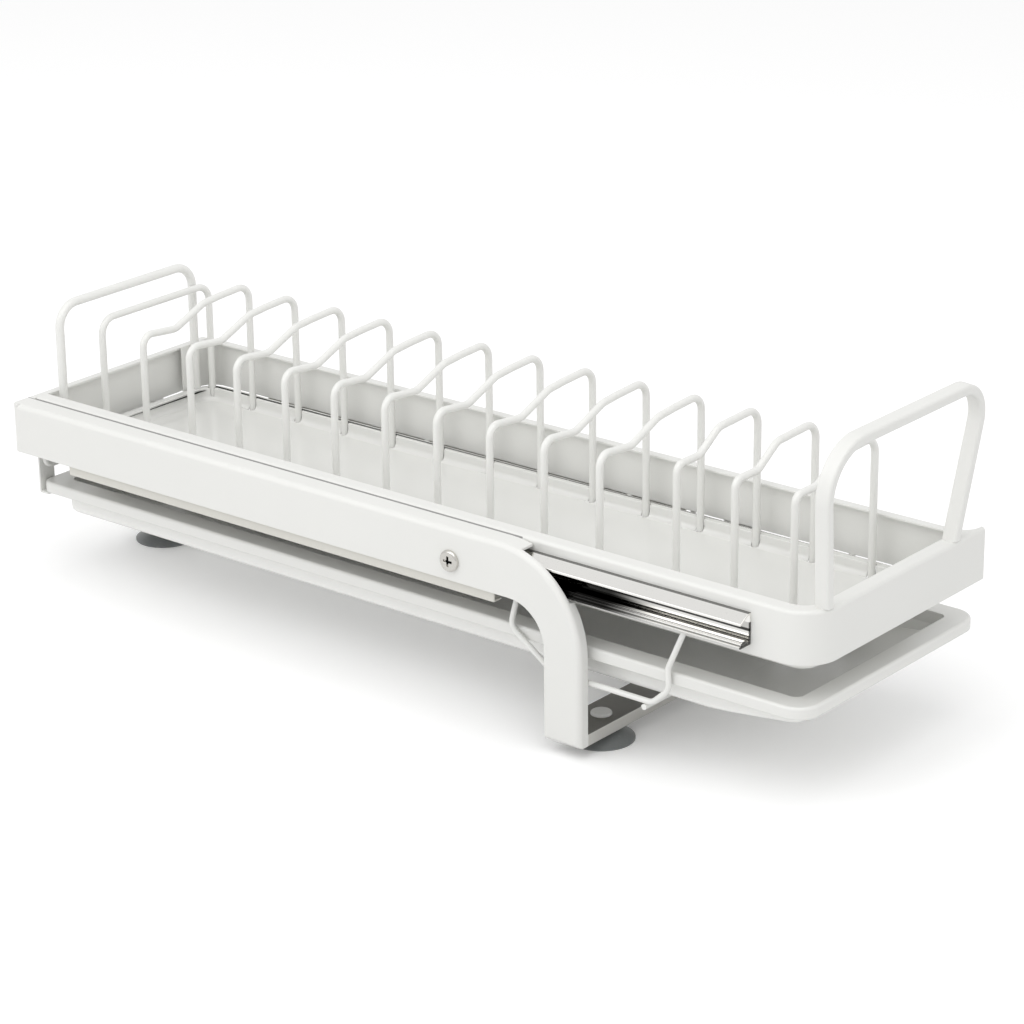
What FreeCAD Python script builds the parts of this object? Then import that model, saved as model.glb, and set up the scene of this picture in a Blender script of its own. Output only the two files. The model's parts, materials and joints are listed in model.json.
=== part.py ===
import FreeCAD, Part
import math
import os
from FreeCAD import Vector

# Pull-out dish rack: a folded sheet stand on three suction feet carries a drawer on two
# ball slides. The drawer holds the wire plate hoops and a lift-out drip insert, and a
# lower tray slides in a wire cradle under it.
# Millimetres. X runs from the stand's back to the handle, the way the drawer pulls out,
# Y runs from the near side to the far side, and Z is up from the surface it stands on.

# Stand
drawer_front = 529.0
stand_width = 164.0
stand_top = 105.0
stand_sheet = 1.5
band_height = 28.0
band_round = 3.0
far_drop = 6.0
top_flange = 12.5
back_flange = 4.5
back_corner_round = 3.5
leg_front = 400.0
leg_width = 22.4
leg_flange = 7.0
leg_bottom = 6.5
arch_outer_radius = 51.0
arch_inner_radius = 22.0
arch_flange_end_near = 14.0
arch_flange_end_far = 2.0
rail_way_depth = 3.5
rail_way_clearance = 1.8

# Feet
foot_top = 13.0
tongue_width = 40.0
rear_plate_length = 38.0
tongue_round = 6.0
cup_diameter = 34.5
cup_lip = 0.8
cup_neck_diameter = 13.0
cup_skirt_height = 5.0
cup_hollow_depth = 2.4
cup_hollow_middle = 1.9
cup_shoulder_diameter = 24.8
cup_shoulder_height = 3.1
front_cup_from_leg_front = 10.5
front_cup_from_side = 31.0
rear_cup_from_back = 18.0
rear_cup_from_side = 96.0
stud_head_diameter = 11.0
stud_head_height = 1.6
stud_head_round = 1.1
stud_shank_diameter = 4.0
stud_shank_depth = 3.0

# Slides
rail_height = 16.4
rail_wall = 1.0
rail_depth = 8.5
rail_top_gap_near = 3.5
rail_top_gap_far = 0.2
rail_lip_fall = 3.6
rail_shoulder = 2.0
ridge_step = 0.8
ridge_tread = 1.1
moving_rail_back = 8.0
moving_rail_length = 485.0
fixed_rail_back = 20.0
fixed_rail_length = 345.0
carrier_back = 42.0
carrier_length = 303.0
carrier_sheet = 1.2
carrier_flange = 6.0
carrier_drop = 5.5
ball_diameter = 2.6
ball_clearance = 0.05
ball_depth = 5.0
balls_per_row = 6
cage_length = 110.0
cage_back = 135.0
cage_sheet = 0.6
cage_width = 5.0
cage_rail_gap = 0.5
screw_back = 318.0
screw_height = 88.0
screw_head_diameter = 11.5
screw_head_height = 2.2
screw_head_round = 1.5
screw_shank_diameter = 4.0
recess_length = 5.6
recess_width = 1.3
recess_depth = 1.2
rivet_shank_diameter = 2.4
rivet_head_diameter = 3.2
rivet_head_clearance = 0.1
rivet_head_height = 0.8
rivets_per_rail = 3
rivet_end_distance = 25.0

# Drawer
seam_gap = 0.5
drawer_back = 6.0
drawer_top = 106.0
drawer_height = 27.5
drawer_sheet = 1.2
drawer_corner = 19.0
drawer_round = 2.0
drawer_flange = 8.5
far_flange = 5.0
mouth_far_round = 3.0
ear_reach = 11.0
drawer_back_corner = 12.0
far_return = 24.0
mouth_back_round = 7.0
ear_sweep = 10.0
ear_fill_angle = 25.0

# Drip insert
insert_drop = 26.0
insert_gap = 4.0
insert_back_gap = 1.8
insert_rim = 4.8
insert_wall = 1.2
insert_depth = 8.2
insert_corner = 15.0
insert_floor_round = 3.5
insert_outer_round = 4.2
leg_hole_clearance = 0.4

# Wires
hoop_wire = 4.0
first_hoop = 49.2
last_hoop_from_front = 52.6
wide_hoops = 10
narrow_hoops = 3
hoop_far_from_side = 23.0
hoop_near = 55.5
narrow_near = 72.0
hoop_top = 151.0
shelf_drop = 9.0
shelf_sag = 2.6
crest_drop = 2.4
slope_foot_from_far = 60.0
slope_head_from_far = 37.0
crest_from_far = 24.0
narrow_foot_from_far = 50.0
narrow_head_from_far = 34.0
near_bend = 6.5
narrow_bend = 4.5
narrow_slope_bend = 7.5
far_bend = 8.5
slope_bend = 11.0
plain_hoop_place = 17.0
plain_hoop_top = 144.5
plain_bend = 9.0
rear_hoop_wire = 5.0
rear_hoop_near = 30.5
rear_hoop_far_from_side = 29.0
rear_hoop_top = 157.5
rear_hoop_bend = 13.0
cross_wire = 3.0
cross_wire_bend = 5.0
cross_wires_after_hoops = (4, 8, 11, 12)
wire_end = 4.0
insert_seat_gap = 0.3

# Handle
handle_top = 189.5
handle_base_near = 27.4
handle_base_far_from_side = 27.0
handle_flare_near = 11.4
handle_flare_far = 16.0
handle_trim = 16.0
handle_thickness = 5.5
handle_width = 8.3
handle_bend_near = 24.0
handle_bend_far = 18.0
handle_lean = 4.0
handle_edge_round = 1.4
handle_from_front = 4.4

# Lower tray and its cradle
tray_back_gap = 0.5
tray_front = 526.0
tray_side_gap = 11.0
tray_top = 58.0
tray_bottom = 38.5
tray_lip = 6.2
tray_rim = 12.0
tray_wall = 2.0
tray_lip_wall = 1.8
tray_front_corner = 12.0
tray_back_corner = 7.0
tray_body_corner = 6.0
tray_floor_round = 4.0
tray_rim_round = 1.6
tray_ear_length = 60.0
tray_ear_reach = 12.0
tray_ear_round = 5.0
ramp_length = 61.0
ramp_rise = 7.5
bail_wire = 3.0
bail_from_side = 8.9
bail_bend = 7.0
bail_front_top = 459.0
bail_front_knee = 447.5
bail_front_knee_height = 60.5
bail_front_low = 448.0
bail_front_low_height = 49.0
bail_bar_front = 438.0
bail_bar_rear = 376.0
bail_rear_low = 349.5
bail_rear_low_height = 58.0
bail_rear_top = 357.0
cradle_wire_inset = 4.0
hanger_from_side = 11.5
hanger_width = 11.0
hanger_sheet = 1.2
hanger_foot = 7.0
hanger_gap = 0.3

# Sizes that follow
band_bottom = stand_top - band_height
leg_back = leg_front - leg_width
drawer_side = top_flange + seam_gap
drawer_far_side = stand_width - drawer_side
drawer_bottom = drawer_top - drawer_height
foot_bottom = foot_top - stand_sheet
hoop_radius = hoop_wire / 2
hoop_pitch = ((drawer_front - last_hoop_from_front - first_hoop)
              / (wide_hoops + narrow_hoops - 1))
hoop_far = stand_width - hoop_far_from_side
rear_hoop_far = stand_width - rear_hoop_far_from_side
rear_hoop_place = drawer_back + drawer_sheet + rear_hoop_wire / 2
tray_back = drawer_back + hanger_sheet + tray_back_gap
handle_base_far = stand_width - handle_base_far_from_side
insert_top = drawer_top - insert_drop
insert_bottom = insert_top - insert_depth
base_wire_height = insert_bottom - insert_seat_gap - hoop_radius
cross_wire_height = base_wire_height - hoop_radius - cross_wire / 2
hoop_foot = base_wire_height + hoop_radius
handle_reach = ((handle_top - drawer_top) * math.sin(math.radians(handle_lean))
                + handle_width / 2 - handle_from_front)
overall_mid_x = (drawer_front + handle_reach) / 2
overall_mid_y = stand_width / 2


def box(x0, x1, y0, y1, z0, z1):
    """A block between two corners."""
    return Part.makeBox(x1 - x0, y1 - y0, z1 - z0, Vector(x0, y0, z0))


def disc(x, y, z0, z1, diameter):
    """An upright cylinder."""
    return Part.makeCylinder(diameter / 2, z1 - z0, Vector(x, y, z0))


def cross_disc(x, y0, y1, z, diameter):
    """A cylinder that lies along Y."""
    return Part.makeCylinder(diameter / 2, y1 - y0, Vector(x, y0, z), Vector(0, 1, 0))


def rounded_path(points, radii):
    """Straight runs through the points, joined by tangent arcs of the given radii."""
    edges = []
    start = points[0]
    for before, corner, after, radius in zip(points, points[1:], points[2:], radii):
        back = (before - corner).normalize()
        ahead = (after - corner).normalize()
        half_angle = back.getAngle(ahead) / 2
        reach = radius / math.tan(half_angle)
        middle = (back + ahead).normalize()
        centre = corner + middle * (radius / math.sin(half_angle))
        arc_start = corner + back * reach
        arc_end = corner + ahead * reach
        edges.append(Part.LineSegment(start, arc_start).toShape())
        edges.append(Part.Arc(arc_start, centre - middle * radius, arc_end).toShape())
        start = arc_end
    edges.append(Part.LineSegment(start, points[-1]).toShape())
    return Part.Wire(edges)


def bent_wire(points, radii, diameter):
    """Round wire bent along a path."""
    path = rounded_path(points, radii)
    ring = Part.Circle(points[0], (points[1] - points[0]).normalize(), diameter / 2)
    return path.makePipe(Part.Face(Part.Wire(ring.toShape())))


def slab(corners, radii, z0, z1):
    """An upright slab whose outline has a round of its own at each corner."""
    count = len(corners)
    edges = []
    ends = []
    for i, (corner, radius) in enumerate(zip(corners, radii)):
        here = Vector(corner[0], corner[1], z0)
        before = Vector(*corners[i - 1], z0)
        after = Vector(*corners[(i + 1) % count], z0)
        back = (before - here).normalize()
        ahead = (after - here).normalize()
        half_angle = back.getAngle(ahead) / 2
        reach = radius / math.tan(half_angle)
        middle = (back + ahead).normalize()
        nearest = here + middle * (radius / math.sin(half_angle) - radius)
        ends.append((here + back * reach, nearest, here + ahead * reach, radius))
    for i, (arc_start, nearest, arc_end, radius) in enumerate(ends):
        if radius > 0:
            edges.append(Part.Arc(arc_start, nearest, arc_end).toShape())
        edges.append(Part.LineSegment(arc_end, ends[(i + 1) % count][0]).toShape())
    return Part.Face(Part.Wire(edges)).extrude(Vector(0, 0, z1 - z0))


def round_slab(x0, x1, y0, y1, z0, z1, back_round, front_round):
    """A rectangular slab with its own round at the back and at the front corners."""
    corners = [(x0, y0), (x1, y0), (x1, y1), (x0, y1)]
    return slab(corners, [back_round, front_round, front_round, back_round], z0, z1)


def mirrored(shape):
    """The same shape on the far side of the stand."""
    return shape.mirror(Vector(0, overall_mid_y, 0), Vector(0, 1, 0))


def fuse_all(shapes):
    """One solid out of several that touch or overlap."""
    return shapes[0].fuse(shapes[1:]).removeSplitter()


def edges_at(shape, test):
    """The edges of a shape whose every vertex passes a test."""
    return [e for e in shape.Edges if all(test(v.Point) for v in e.Vertexes)]


def near(value, target):
    """Whether two sizes agree."""
    return abs(value - target) < 0.001


def crowned_block(top, inset, y0, y1, back, low):
    """A block as long as the stand's side, its top front corner round like the arch."""
    front = leg_front - inset
    high = top - inset
    crown_x = leg_front - arch_outer_radius
    crown_z = top - arch_outer_radius
    diagonal = (arch_outer_radius - inset) * math.sqrt(0.5)
    corners = [Vector(crown_x, y0, high), Vector(back, y0, high), Vector(back, y0, low),
               Vector(front, y0, low), Vector(front, y0, crown_z)]
    crown = Part.Arc(corners[-1], Vector(crown_x + diagonal, y0, crown_z + diagonal), corners[0])
    edges = [Part.LineSegment(a, b) for a, b in zip(corners, corners[1:])] + [crown]
    face = Part.Face(Part.Wire([e.toShape() for e in edges]))
    return face.extrude(Vector(0, y1 - y0, 0))


def under_arch(y0, y1):
    """The space below the band and behind the leg, its top front corner round."""
    reach = 2 * leg_front
    space = box(leg_back - reach, leg_back, y0, y1, band_bottom - reach, band_bottom)
    corner = edges_at(space, lambda p: near(p.x, leg_back) and near(p.z, band_bottom))
    return space.makeFillet(arch_inner_radius, corner)


def folded_side(top, rail_bottom, flange_end):
    """One side of the stand: a wall folded over along its top, its arch, its leg and the
    leg's foot."""
    block = crowned_block(top, 0.0, 0.0, top_flange, 0.0, leg_bottom)
    rim = [e for e in edges_at(block, lambda p: near(p.y, 0.0))
           if not all(near(v.X, 0.0) for v in e.Vertexes)]
    block = block.makeFillet(band_round, rim)
    hollow = crowned_block(top, stand_sheet, stand_sheet, top_flange + 1, -1.0, leg_bottom + stand_sheet)
    inner_rim = [e for e in edges_at(hollow, lambda p: near(p.y, stand_sheet))
                 if not all(near(v.X, -1.0) for v in e.Vertexes)]
    hollow = hollow.makeFillet(band_round - stand_sheet, inner_rim)
    side = block.cut([hollow, under_arch(-1, top_flange + 1)])
    flange_end_x = leg_front - arch_outer_radius + arch_outer_radius * math.sin(math.radians(flange_end))
    way_bottom = rail_bottom - rail_way_clearance
    rail_way = box(flange_end_x, leg_front + 1, rail_way_depth, top_flange + 1, way_bottom, top + 1)
    below = box(flange_end_x, leg_front + 1, leg_flange, top_flange + 1, 0, way_bottom + 1)
    return side.cut([rail_way, below]).removeSplitter()


def rail_bottom_of(top, gap):
    """The height of a slide's underside, hung below the fold of its side."""
    return top - stand_sheet - gap - rail_height


near_rail_bottom = rail_bottom_of(stand_top, rail_top_gap_near)
far_rail_bottom = rail_bottom_of(stand_top - far_drop, rail_top_gap_far)
screw_lift = {"near": 0.0, "far": far_rail_bottom - near_rail_bottom}
side_tops = {"near": stand_top, "far": stand_top - far_drop}
flange_ends = {"near": arch_flange_end_near, "far": arch_flange_end_far}
rail_bottoms = {"near": near_rail_bottom, "far": far_rail_bottom}


def at_side(shape, side):
    """Leaves a near piece where it is and mirrors a far one."""
    return shape if side == "near" else mirrored(shape)


def make_stand_frame():
    """Back wall and two sides, folded from one sheet, with rounded back corners."""
    back = box(0, back_flange, 0, stand_width, band_bottom, stand_top)
    back = back.cut(box(stand_sheet, back_flange + 1, -1, stand_width + 1,
                        band_bottom - 1, stand_top - stand_sheet))
    sides = [at_side(folded_side(side_tops[s], rail_bottoms[s], flange_ends[s]), s)
             for s in ("near", "far")]
    step = box(-1, back_flange + 1, stand_width - top_flange, stand_width + 1,
               stand_top - far_drop, stand_top + 1)
    frame = fuse_all([back.cut(step)] + sides)
    footprint = round_slab(0, leg_front + 1, 0, stand_width, 0, stand_top + 1, back_corner_round, 0.0)
    frame = frame.common(footprint)
    for side in ("near", "far"):
        hole = cross_disc(screw_back, -1, stand_sheet + 1, screw_height + screw_lift[side],
                          screw_shank_diameter)
        frame = frame.cut(at_side(hole, side))
    return frame


def make_front_foot():
    """The bar that joins the two legs: a flat plate with its front edge folded down."""
    plate = box(leg_back, leg_front, stand_sheet, stand_width - stand_sheet, foot_bottom, foot_top)
    fold = box(leg_front - stand_sheet, leg_front, leg_flange, stand_width - leg_flange,
               leg_bottom, foot_bottom)
    inside = leg_front - stand_sheet
    plate = plate.cut(box(inside, leg_front + 1, 0, leg_flange, 0, foot_top + 1))
    plate = plate.cut(box(inside, leg_front + 1, stand_width - leg_flange, stand_width, 0, foot_top + 1))
    plate = fuse_all([plate, fold])
    for place in cup_places()[:2]:
        plate = plate.cut(disc(*place, foot_bottom - 1, foot_top + 1, stud_shank_diameter))
    return plate


def make_rear_foot():
    """A tongue that hangs from the back wall and turns forward into a plate for one cup."""
    half = tongue_width / 2
    y0 = rear_cup_from_side - half
    y1 = rear_cup_from_side + half
    tongue = box(0, stand_sheet, y0, y1, foot_bottom, band_bottom)
    plate = round_slab(0, rear_plate_length, y0, y1, foot_bottom, foot_top, 0.0, tongue_round)
    foot = fuse_all([tongue, plate])
    bend = edges_at(foot, lambda p: near(p.x, 0) and near(p.z, foot_bottom))
    foot = foot.makeFillet(2 * stand_sheet, bend)
    inner_bend = edges_at(foot, lambda p: near(p.x, stand_sheet) and near(p.z, foot_top))
    foot = foot.makeFillet(stand_sheet, inner_bend)
    return foot.cut(disc(*cup_places()[2], foot_bottom - 1, foot_top + 1, stud_shank_diameter))


def cup_places():
    """Where the three suction cups stand: two under the legs, one at the back."""
    front = leg_front - front_cup_from_leg_front
    return [(front, front_cup_from_side), (front, stand_width - front_cup_from_side),
            (rear_cup_from_back, rear_cup_from_side)]


def make_suction_cup(place):
    """A rubber cup: a hollow skirt, a neck up to the plate and a blind hole for its stud."""
    radius = cup_diameter / 2
    neck = cup_neck_diameter / 2
    middle = Vector(0, 0, cup_hollow_depth)
    inner_lip = Vector(radius - cup_lip, 0, 0)
    outer_lip = Vector(radius, 0, cup_lip)
    neck_foot = Vector(neck, 0, cup_skirt_height)
    neck_top = Vector(neck, 0, foot_bottom)
    axis_top = Vector(0, 0, foot_bottom)
    hollow = Part.Arc(middle, Vector(radius / 2, 0, cup_hollow_middle), inner_lip)
    skirt = Part.Arc(outer_lip, Vector(cup_shoulder_diameter / 2, 0, cup_shoulder_height), neck_foot)
    edges = [hollow, Part.LineSegment(inner_lip, Vector(radius, 0, 0)),
             Part.LineSegment(Vector(radius, 0, 0), outer_lip), skirt,
             Part.LineSegment(neck_foot, neck_top), Part.LineSegment(neck_top, axis_top),
             Part.LineSegment(axis_top, middle)]
    face = Part.Face(Part.Wire([e.toShape() for e in edges]))
    cup = face.revolve(Vector(0, 0, 0), Vector(0, 0, 1), 360)
    cup = cup.cut(disc(0, 0, foot_bottom - stud_shank_depth, foot_bottom + 1, stud_shank_diameter))
    cup.translate(Vector(place[0], place[1], 0))
    return cup


def make_cup_stud(place):
    """A domed stud through the plate into the cup."""
    head = disc(*place, foot_top, foot_top + stud_head_height, stud_head_diameter)
    rim = edges_at(head, lambda p: near(p.z, foot_top + stud_head_height))
    head = head.makeFillet(stud_head_round, rim)
    shank = disc(*place, foot_bottom - stud_shank_depth, foot_top, stud_shank_diameter)
    return fuse_all([head, shank])


def extruded(outline, x0, x1):
    """A rolled profile, given across the rack as (y, z), run along X."""
    points = [Vector(x0, y, z) for y, z in outline]
    return Part.Face(Part.makePolygon(points + [points[0]])).extrude(Vector(x1 - x0, 0, 0))


def rail_middle(side):
    """The height of a slide's middle."""
    return rail_bottoms[side] + rail_height / 2


def lip_height(y_from_wall):
    """Half height, at a distance from the drawer's wall, of the moving rail's sloped lip."""
    run = rail_depth - rail_shoulder
    fall = rail_lip_fall * max(0.0, y_from_wall - rail_shoulder) / run
    return rail_height / 2 - fall


lip_run = rail_depth - rail_shoulder
lip_slant = math.hypot(rail_lip_fall, lip_run) / lip_run
lip_thickness = rail_wall * lip_slant
ball_reach = ball_diameter / 2 + ball_clearance
ball_half = lip_height(ball_depth) - lip_thickness - ball_reach * lip_slant
race_half = ball_half + ball_reach
fixed_half = ball_half - ball_reach


def make_moving_rail(side):
    """The outer slide member: a channel on the drawer's wall, open outwards, its upper lip
    sloping down and its lower flange rolled into steps with a ball track."""
    wall = drawer_side
    half = rail_height / 2
    lip_end = half - rail_lip_fall
    track_front = wall - ball_depth - ridge_tread
    track_back = wall - ball_depth + ridge_tread
    step = ridge_step
    outline = [
        (wall, -half), (wall, half), (wall - rail_shoulder, half), (wall - rail_depth, lip_end),
        (wall - rail_depth, lip_end - lip_thickness), (wall - rail_shoulder, half - lip_thickness),
        (wall - rail_wall, half - lip_thickness), (wall - rail_wall, -half + rail_wall),
        (track_back + ridge_tread, -half + rail_wall), (track_back + ridge_tread, -race_half - step),
        (track_back, -race_half - step), (track_back, -race_half),
        (track_front, -race_half), (track_front, -race_half - step),
        (track_front - ridge_tread, -race_half - step), (track_front - ridge_tread, -half + rail_wall),
        (wall - rail_depth, -half + rail_wall), (wall - rail_depth, -half)]
    middle = rail_middle(side)
    rail = extruded([(y, z + middle) for y, z in outline], moving_rail_back,
                    moving_rail_back + moving_rail_length)
    return at_side(rail, side)


def rivet_places():
    """Where the rivets that hold a fixed rail to its carrier stand along X."""
    first = carrier_back + rivet_end_distance
    last = carrier_back + carrier_length - rivet_end_distance
    return [first + (last - first) * i / (rivets_per_rail - 1) for i in range(rivets_per_rail)]


def make_fixed_rail(side):
    """The inner slide member: a small channel riveted to the carrier."""
    back = stand_sheet + carrier_sheet
    tip = drawer_side - rail_wall - 2 * cage_rail_gap - cage_sheet
    outline = [(back, -fixed_half), (tip, -fixed_half), (tip, -fixed_half + rail_wall),
               (back + rail_wall, -fixed_half + rail_wall), (back + rail_wall, fixed_half - rail_wall),
               (tip, fixed_half - rail_wall), (tip, fixed_half), (back, fixed_half)]
    middle = rail_middle(side)
    rail = extruded([(y, z + middle) for y, z in outline], fixed_rail_back,
                    fixed_rail_back + fixed_rail_length)
    for x in rivet_places():
        rail = rail.cut(cross_disc(x, back - 1, back + rail_wall + 1, middle, rivet_shank_diameter))
    return at_side(rail, side)


def make_carrier(side):
    """A folded channel inside the stand's wall that carries the fixed rail."""
    low = band_bottom - carrier_drop
    high = side_tops[side] - band_round
    back = stand_sheet
    outline = [(back, low), (back + carrier_flange, low), (back + carrier_flange, low + carrier_sheet),
               (back + carrier_sheet, low + carrier_sheet), (back + carrier_sheet, high), (back, high)]
    carrier = extruded(outline, carrier_back, carrier_back + carrier_length)
    middle = rail_middle(side)
    for x in rivet_places():
        carrier = carrier.cut(cross_disc(x, 0, back + carrier_sheet + 1, middle, rivet_shank_diameter))
    carrier = carrier.cut(cross_disc(screw_back, 0, back + carrier_sheet + 1,
                                     screw_height + screw_lift[side], screw_shank_diameter))
    return at_side(carrier, side)


def make_rivets(side):
    """The rivets through a fixed rail and its carrier."""
    back = stand_sheet
    seat = back + carrier_sheet + rail_wall
    middle = rail_middle(side)
    head_diameter = min(rivet_head_diameter, 2 * (fixed_half - rail_wall - rivet_head_clearance))
    rivets = []
    for x in rivet_places():
        shank = cross_disc(x, back, seat, middle, rivet_shank_diameter)
        head = cross_disc(x, seat, seat + rivet_head_height, middle, head_diameter)
        rivets.append(at_side(fuse_all([shank, head]), side))
    return rivets


def make_screw(side):
    """A pan head screw with a cross recess, through the stand's wall into the carrier."""
    z = screw_height + screw_lift[side]
    head = cross_disc(screw_back, -screw_head_height, 0, z, screw_head_diameter)
    head = head.makeFillet(screw_head_round, edges_at(head, lambda p: near(p.y, -screw_head_height)))
    shank = cross_disc(screw_back, 0, stand_sheet + carrier_sheet, z, screw_shank_diameter)
    half = recess_length / 2
    thin = recess_width / 2
    floor = -screw_head_height + recess_depth
    slots = [box(screw_back - half, screw_back + half, -screw_head_height - 1, floor, z - thin, z + thin),
             box(screw_back - thin, screw_back + thin, -screw_head_height - 1, floor, z - half, z + half)]
    return at_side(fuse_all([head, shank]).cut(slots), side)


def ball_places():
    """Where the balls of one row stand along X."""
    pitch = cage_length / balls_per_row
    return [cage_back + pitch * (i + 0.5) for i in range(balls_per_row)]


def make_ball_cage(side):
    """A folded strip with two rows of holes that keeps the balls apart."""
    middle = rail_middle(side)
    spine = drawer_side - rail_wall - cage_rail_gap
    tip = spine - cage_width
    outer = ball_half + cage_sheet / 2
    inner = ball_half - cage_sheet / 2
    outline = [(spine, -outer), (spine, outer), (tip, outer), (tip, inner), (spine - cage_sheet, inner),
               (spine - cage_sheet, -inner), (tip, -inner), (tip, -outer)]
    cage = extruded([(y, z + middle) for y, z in outline], cage_back, cage_back + cage_length)
    ball_y = drawer_side - ball_depth
    hole = ball_diameter + 2 * ball_clearance
    for x in ball_places():
        for row in (-1, 1):
            z = middle + row * ball_half
            cage = cage.cut(disc(x, ball_y, z - cage_sheet, z + cage_sheet, hole))
    return at_side(cage, side)


def make_balls(side):
    """Two rows of balls."""
    middle = rail_middle(side)
    balls = []
    for x in ball_places():
        for row in (-1, 1):
            centre = Vector(x, drawer_side - ball_depth, middle + row * ball_half)
            balls.append(at_side(Part.makeSphere(ball_diameter / 2, centre), side))
    return balls


def drawer_plan(inset, ear):
    """The drawer's outline seen from above: a rectangle, round at its near front and far back
    corners, whose far wall sweeps outwards before the front. The ear is the part of the front that runs on,
    where the sheet is doubled."""
    x0 = drawer_back + inset
    x1 = drawer_front - inset
    y0 = drawer_side + inset
    y1 = drawer_far_side - inset
    corner = drawer_corner - inset
    back = drawer_back_corner - inset
    sweep = ear_sweep + inset
    centre_x = drawer_front - 2 * drawer_sheet - ear_sweep
    centre_y = drawer_far_side + ear_sweep
    end_angle = 0.0 if ear else math.radians(ear_fill_angle)
    sweep_end = Vector(centre_x + sweep * math.cos(end_angle), centre_y - sweep * math.sin(end_angle))
    half_angle = (math.pi / 2 + end_angle) / 2
    sweep_middle = Vector(centre_x + sweep * math.cos(half_angle), centre_y - sweep * math.sin(half_angle))
    diagonal = corner * (1 - math.sqrt(0.5))
    back_diagonal = back * (1 - math.sqrt(0.5))
    points = [Vector(x1, y0 + corner)]
    if ear:
        points += [Vector(x1, drawer_far_side + ear_reach),
                   Vector(sweep_end.x, drawer_far_side + ear_reach)]
    else:
        points += [Vector(x1, sweep_end.y)]
    points += [sweep_end]
    edges = [Part.LineSegment(Vector(x0, y0), Vector(x1 - corner, y0)),
             Part.Arc(Vector(x1 - corner, y0), Vector(x1 - diagonal, y0 + diagonal), points[0])]
    edges += [Part.LineSegment(a, b) for a, b in zip(points, points[1:])]
    edges += [Part.Arc(sweep_end, sweep_middle, Vector(centre_x, y1)),
              Part.LineSegment(Vector(centre_x, y1), Vector(x0 + back, y1)),
              Part.Arc(Vector(x0 + back, y1), Vector(x0 + back_diagonal, y1 - back_diagonal),
                       Vector(x0, y1 - back)),
              Part.LineSegment(Vector(x0, y1 - back), Vector(x0, y0))]
    return Part.Face(Part.Wire([e.toShape() for e in edges]))


def drawer_prism(inset, ear, z0, z1):
    """The drawer's plan stood up between two heights."""
    prism = drawer_plan(inset, ear).extrude(Vector(0, 0, z1 - z0))
    prism.translate(Vector(0, 0, z0))
    return prism


def make_drawer_frame():
    """The drawer's band: three walls folded over at the top, with a return at each back corner
    and a front plate that runs on past the far wall."""
    band = drawer_prism(0.0, True, drawer_bottom, drawer_top)
    rim = [e for e in edges_at(band, lambda p: near(p.z, drawer_top))
           if all(near(v.Y, drawer_side) or near(v.X, drawer_front) for v in e.Vertexes)]
    band = band.makeFillet(drawer_round, rim)
    inside = drawer_prism(drawer_sheet, False, drawer_bottom - 1, drawer_top - drawer_sheet)
    mouth_near = drawer_side + drawer_flange
    mouth_far = drawer_far_side - far_flange
    mouth_front = drawer_front - drawer_flange
    mouth_back = drawer_back + drawer_sheet
    mouth = slab([(mouth_back, mouth_near), (mouth_front, mouth_near),
                  (mouth_front, mouth_far), (mouth_back, mouth_far)],
                 [0.0, drawer_corner - drawer_flange, mouth_far_round, mouth_back_round],
                 drawer_bottom - 1, drawer_top + 1)
    way_in = box(drawer_back - 1, mouth_back + 1, mouth_near, drawer_far_side - far_return,
                 drawer_bottom - 1, drawer_top + 1)
    return band.cut([inside, mouth, way_in]).removeSplitter()


def hoop_places():
    """Where the plate hoops stand along X, the wide ones first."""
    return [first_hoop + hoop_pitch * i for i in range(wide_hoops + narrow_hoops)]


def far_wall_at(x):
    """Where the middle of the far wall's sheet stands at X, on its straight or round its back corner."""
    radius = drawer_back_corner - drawer_sheet / 2
    before = max(drawer_back + drawer_back_corner - x, 0.0)
    return drawer_far_side - drawer_back_corner + math.sqrt(radius * radius - before * before)


def cross_wire_places():
    """Where the wires across the drawer stand along X: one under the rear hoop and the rest
    half way between two plate hoops."""
    return [rear_hoop_place] + [first_hoop + hoop_pitch * (i - 0.5) for i in cross_wires_after_hoops]


def leg_places():
    """Every place where an upright passes the insert, with its wire's diameter."""
    places = [(plain_hoop_place, hoop_near), (plain_hoop_place, hoop_far)]
    for i, x in enumerate(hoop_places()):
        foot = hoop_near if i < wide_hoops else narrow_near
        places += [(x, foot), (x, hoop_far)]
    return places


def make_drip_insert():
    """A shallow moulded tray with a flat rim, holed where the hoops' legs pass."""
    x0 = drawer_back + drawer_sheet + insert_back_gap
    x1 = drawer_front - drawer_sheet - insert_gap
    y0 = drawer_side + drawer_sheet + insert_gap
    y1 = drawer_far_side - drawer_sheet - insert_gap
    rim = round_slab(x0, x1, y0, y1, insert_top - insert_wall, insert_top, insert_corner, insert_corner)
    skin = insert_rim - insert_wall
    body = round_slab(x0 + skin, x1 - skin, y0 + skin, y1 - skin, insert_bottom,
                      insert_top - insert_wall, insert_corner - skin, insert_corner - skin)
    body = body.makeFillet(insert_outer_round, edges_at(body, lambda p: near(p.z, insert_bottom)))
    well = round_slab(x0 + insert_rim, x1 - insert_rim, y0 + insert_rim, y1 - insert_rim,
                      insert_bottom + insert_wall, insert_top + 1,
                      insert_corner - insert_rim, insert_corner - insert_rim)
    well = well.makeFillet(insert_floor_round,
                           edges_at(well, lambda p: near(p.z, insert_bottom + insert_wall)))
    insert = fuse_all([rim, body]).cut(well)
    holes = [disc(*place, insert_bottom - 1, insert_top + 1, hoop_wire + 2 * leg_hole_clearance)
             for place in leg_places()]
    notches = [disc(rear_hoop_place, y, insert_bottom - 1, insert_top + 1,
                    rear_hoop_wire + 2 * leg_hole_clearance) for y in (rear_hoop_near, rear_hoop_far)]
    return insert.cut(holes + notches)


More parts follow.
